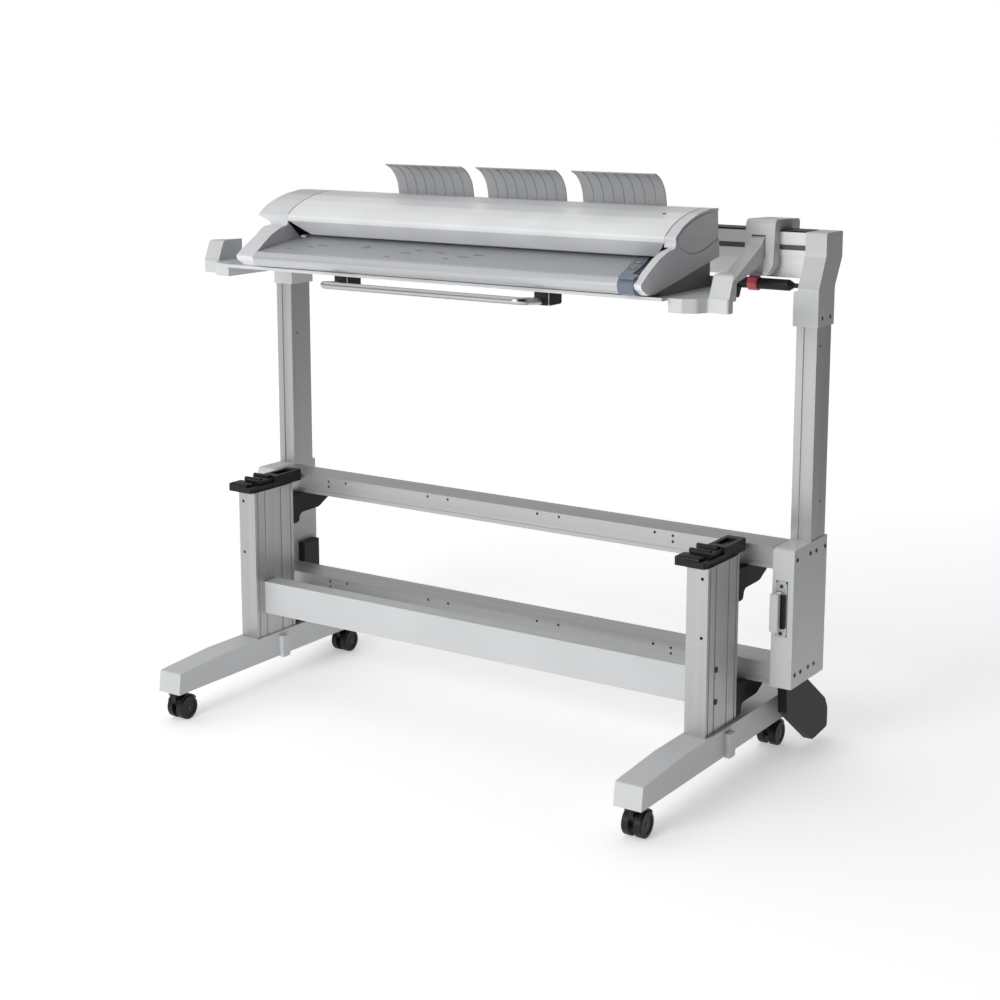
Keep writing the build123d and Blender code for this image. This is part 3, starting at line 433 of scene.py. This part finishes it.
def handle_mount_details():
    """Black end pads and front covers on the pull handle's two mounting blocks."""
    low, high = millimetres("pull_handle")
    for number, x in enumerate((low[0] + 8, high[0] - 8)):
        outline = rounded((-185, 1021.5), (-142, 1049), 3)
        slab(f"handle_mount_pad_{number}", BLACK, world, outline, x + 18.05, x + 22, "yz", "scanner",
             0.6)
        slab(f"handle_mount_cover_{number}", BLACK, world, rounded((x - 17, 1021), (x + 17, 1049), 3),
             -187.2, -186.05, "xz", "scanner", 0.4)


def smoothed(points, rounds=2):
    """Cuts the corners of a closed outline again and again, which leaves soft curves."""
    for _ in range(rounds):
        following = points[1:] + points[:1]
        points = [tuple(a[i] + (b[i] - a[i]) * part for i in (0, 1))
                  for a, b in zip(points, following) for part in (0.25, 0.75)]
    return points


def cap_side_plate():
    """Separate plate that fills the shallow recess in the right cap's side, with a gap all round."""
    outline = [(284, 40.5), (254, 37.1), (222, 33.5), (200, 33.5), (158, 40.2), (125.6, 57.8),
               (108.3, 77), (107.8, 83.5), (134.7, 94.9), (168.3, 101.6), (207, 104.4), (256.6, 102.3),
               (290, 93.5)]
    slab("cap_side_plate", WHITE, scan, smoothed(outline), 545.05, 546.8, "yz", "scanner",
         0.8)


def crown_line(node, x):
    """Points of a CAD node's upper surface at one X, with the surface's normals."""
    source = NODES[node]
    evaluated = source.evaluated_get(bpy.context.evaluated_depsgraph_get())
    surface = BVHTree.FromObject(evaluated, bpy.context.evaluated_depsgraph_get())
    to_local = source.matrix_world.inverted()
    front, spacing, above = 102.5, 4.8, 130
    line = []
    for step in range(40):
        start = to_local @ scan(x, front + spacing * step, above)
        place, normal, _, _ = surface.ray_cast(start, to_local.to_3x3() @ -UP)
        if place:
            upward = (source.matrix_world.to_3x3() @ normal).normalized()
            line.append((source.matrix_world @ place, upward))
    return line


def gap_shade_strips():
    """Dark grey strips that paint the shade of the thin gaps between the lid and the end caps."""
    for name, x, node in (("left", -461.2, "end_cap_left"), ("right", 522.2, "end_cap_right")):
        mesh = bmesh.new()
        sections = []
        for place, normal in crown_line(node, x):
            corners = []
            for across, lift in ((-0.9, -0.3), (-0.9, 0.12), (0.9, 0.12), (0.9, -0.3)):
                corners.append(mesh.verts.new(place + (Vector((across, 0, 0)) + normal * lift) / 1000))
            sections.append(corners)
        for a, b in zip(sections, sections[1:]):
            for i in range(4):
                mesh.faces.new((a[i], a[i - 1], b[i - 1], b[i]))
        mesh.faces.new(sections[0])
        mesh.faces.new(sections[-1])
        bmesh.ops.recalc_face_normals(mesh, faces=mesh.faces)
        finished(mesh, f"lid_gap_shade_{name}", SHADE_AND_BEZEL_GREY, "scanner")


def lid_details():
    """Small sight dot on the lid's crown."""
    slab("lid_dot", BLACK, scan, ring((472, 197), 4, 20), 110.05, 110.75, "xy", "lid",
         0.2)


def castor_details():
    """Hub caps on the castor wheels, with a small boss in the middle of each."""
    for end in ("front", "rear"):
        for side in ("left", "right"):
            body = f"wheels_{end}_{side}"
            low, high = millimetres(f"castor_wheels_{end}_{side}")
            hub = ((low[1] + high[1]) / 2, (low[2] + high[2]) / 2)
            faces = (("inner", low[0] + 1.6, low[0] + 3), ("outer", high[0] - 3, high[0] - 1.6))
            for label, near, far in faces:
                name = f"castor_hub_{end}_{side}_{label}"
                slab(name, HUB, world, ring(hub, 15), near, far, "yz", body, 0.6)
                slab(f"{name}_boss", HUB, world, ring(hub, 5, 20), near - 1.2, far + 1.2, "yz", body,
                     0.5)


def flank_shade_sheets():
    """Dark grey sheets on the outer flanks of the scanner's tilt blocks, which paint the shade under
    the scanner's sides.
    """
    for name, near, far in (("left", -501.2, -500.05), ("right", 545.05, 546.2)):
        outline = ((-149, 1054), (-149, 1065.5), (54, 1103.5), (54, 1054))
        slab(f"tilt_flank_shade_{name}", FLANK_SHADE_GREY, world, outline, near, far, "yz", "scanner",
             0.3)


def key_details():
    """Dark bezels round the keys and a small status lamp on the panel."""
    for number, name in enumerate(("start_button", "stop_button")):
        low, high = millimetres(name)
        x = (low[0] + high[0]) / 2
        v = (59, 110)[number]
        outer = ring((x, v), 8.6, 32)
        inner = ring((x, v), 6.9, 32)
        bezel(f"key_bezel_{number}", outer, inner)
    slab("status_lamp", LAMP, on_table, ring((474, 85), 2.2, 18), 4.02, 4.7, "xy", "scanner",
         0.2)


def bezel(name, outer, inner):
    """Flat ring on the panel's face, raised a little."""
    mesh = bmesh.new()
    loops = []
    for points, height in ((inner, 4.02), (inner, 4.5), (outer, 4.5), (outer, 4.02)):
        loops.append([mesh.verts.new(on_table(x, v, height)) for x, v in points])
    for a, b in zip(loops, loops[1:] + loops[:1]):
        for i in range(len(outer)):
            following = (i + 1) % len(outer)
            mesh.faces.new((a[i], a[following], b[following], b[i]))
    bmesh.ops.recalc_face_normals(mesh, faces=mesh.faces)
    finished(mesh, name, SHADE_AND_BEZEL_GREY, "scanner")


lid_end_details()
table_marks()
top_rail_details()
slot_covers()
grip_details()
handle_mount_details()
lid_details()
cap_side_plate()
gap_shade_strips()
castor_details()
flank_shade_sheets()
key_details()


# ---------------------------------------------------------------- camera, light and floor

def camera():
    """Eye at standing height, to the front right, looking slightly down."""
    data = bpy.data.cameras.new("camera")
    data.sensor_width = 36.0
    data.lens = 66.2
    data.shift_y = -0.1
    data.clip_end = 50.0
    eye = bpy.data.objects.new("camera", data)
    eye.location = (2.2869, -3.3489, 1.5026)
    eye.rotation_euler = (radians(90 - 10.29), 0, radians(33.63))
    SCENE.collection.objects.link(eye)
    SCENE.camera = eye


def area_light(name, place, target, size, power):
    data = bpy.data.lights.new(name, "AREA")
    data.shape = "RECTANGLE"
    data.size, data.size_y = size
    data.energy = power
    lamp = bpy.data.objects.new(name, data)
    lamp.location = place
    lamp.rotation_euler = (Vector(target) - Vector(place)).to_track_quat("-Z", "Y").to_euler()
    SCENE.collection.objects.link(lamp)


def floor():
    """Pale studio floor with a little glow. Only the camera sees it pale past the right side too."""
    mesh = bpy.data.meshes.new("floor")
    reach = 30.0
    corners = [(-reach, -reach, 0), (reach, -reach, 0), (reach, reach, 0), (-reach, reach, 0)]
    mesh.from_pydata(corners, [], [(0, 1, 2, 3)])
    ground = bpy.data.objects.new("floor", mesh)
    SCENE.collection.objects.link(ground)
    g = Graph("floor_white", 0.7)
    across = g.add("ShaderNodeVectorMath", operation="DOT_PRODUCT")
    across.inputs[1].default_value = (0.949, 0.316, 0.0)
    g.link(g.coordinates, across.inputs[0])
    fall = g.add("ShaderNodeMapRange", interpolation_type="SMOOTHSTEP")
    fall.inputs["From Min"].default_value = 1.15
    fall.inputs["From Max"].default_value = 2.6
    g.link(across.outputs["Value"], fall.inputs["Value"])
    bounce = g.ramp(fall.outputs["Result"], (0.92, 0.92, 0.92), (0.3, 0.3, 0.3), 0.0, 1.0)
    tone = g.add("ShaderNodeMixRGB")
    tone.inputs["Color2"].default_value = (0.92, 0.92, 0.92, 1)
    g.link(g.add("ShaderNodeLightPath").outputs["Is Camera Ray"], tone.inputs["Fac"])
    g.link(bounce, tone.inputs["Color1"])
    g.colour(tone.outputs["Color"])
    g.link(tone.outputs["Color"], g.shader.inputs["Emission Color"])
    away = g.add("ShaderNodeVectorMath", operation="DOT_PRODUCT")
    away.inputs[1].default_value = (-0.553, 0.833, 0.0)
    g.link(g.coordinates, away.inputs[0])
    glow = g.add("ShaderNodeMapRange", interpolation_type="SMOOTHSTEP")
    glow.inputs["From Min"].default_value = 0.4
    glow.inputs["From Max"].default_value = 3.0
    glow.inputs["To Min"].default_value = FLOOR_GLOW
    glow.inputs["To Max"].default_value = FAR_GLOW
    g.link(away.outputs["Value"], glow.inputs["Value"])
    g.link(glow.outputs["Result"], g.shader.inputs["Emission Strength"])
    mesh.materials.append(g.material)


def surroundings():
    """A room that lights the object from the left, dark to the right and in a band above the horizon.

    The camera sees it white all round.
    """
    world = bpy.data.worlds.new("studio")
    SCENE.world = world
    world.use_nodes = True
    tree = world.node_tree
    direction = tree.nodes.new("ShaderNodeTexCoord")
    along = tree.nodes.new("ShaderNodeVectorMath")
    along.operation = "DOT_PRODUCT"
    along.inputs[1].default_value = (-0.93, 0.30, 0.15)
    level = tree.nodes.new("ShaderNodeMapRange")
    level.inputs["From Min"].default_value = -0.4
    level.inputs["From Max"].default_value = 0.5
    level.inputs["To Min"].default_value = ROOM_DARK
    level.inputs["To Max"].default_value = 1.0
    tree.links.new(direction.outputs["Generated"], along.inputs[0])
    tree.links.new(along.outputs["Value"], level.inputs["Value"])
    height = tree.nodes.new("ShaderNodeSeparateXYZ")
    tree.links.new(direction.outputs["Generated"], height.inputs[0])
    band = tree.nodes.new("ShaderNodeValToRGB")
    steps = ((0.07, 1.0), (0.11, BAND_DARK), (0.34, BAND_DARK), (0.5, 1.0))
    stops = band.color_ramp.elements
    for position, _ in steps[2:]:
        stops.new(position)
    for stop, (position, tone) in zip(stops, steps):
        stop.position, stop.color = position, (tone, tone, tone, 1)
    tree.links.new(height.outputs["Z"], band.inputs["Fac"])
    strength = tree.nodes.new("ShaderNodeMath")
    strength.operation = "MULTIPLY"
    tree.links.new(level.outputs["Result"], strength.inputs[0])
    tree.links.new(band.outputs["Color"], strength.inputs[1])
    seen = tree.nodes.new("ShaderNodeMath")
    seen.operation = "MAXIMUM"
    tree.links.new(strength.outputs["Value"], seen.inputs[0])
    tree.links.new(tree.nodes.new("ShaderNodeLightPath").outputs["Is Camera Ray"], seen.inputs[1])
    tree.links.new(seen.outputs["Value"], tree.nodes["Background"].inputs["Strength"])
    tree.nodes["Background"].inputs["Color"].default_value = (1, 1, 1, 1)
    SCENE.view_settings.view_transform = "Standard"


camera()
surroundings()
floor()
area_light("key", (-0.3, -4.4, 2.2), (0.2, 0, 0.7), (1.7, 1.6), 110)
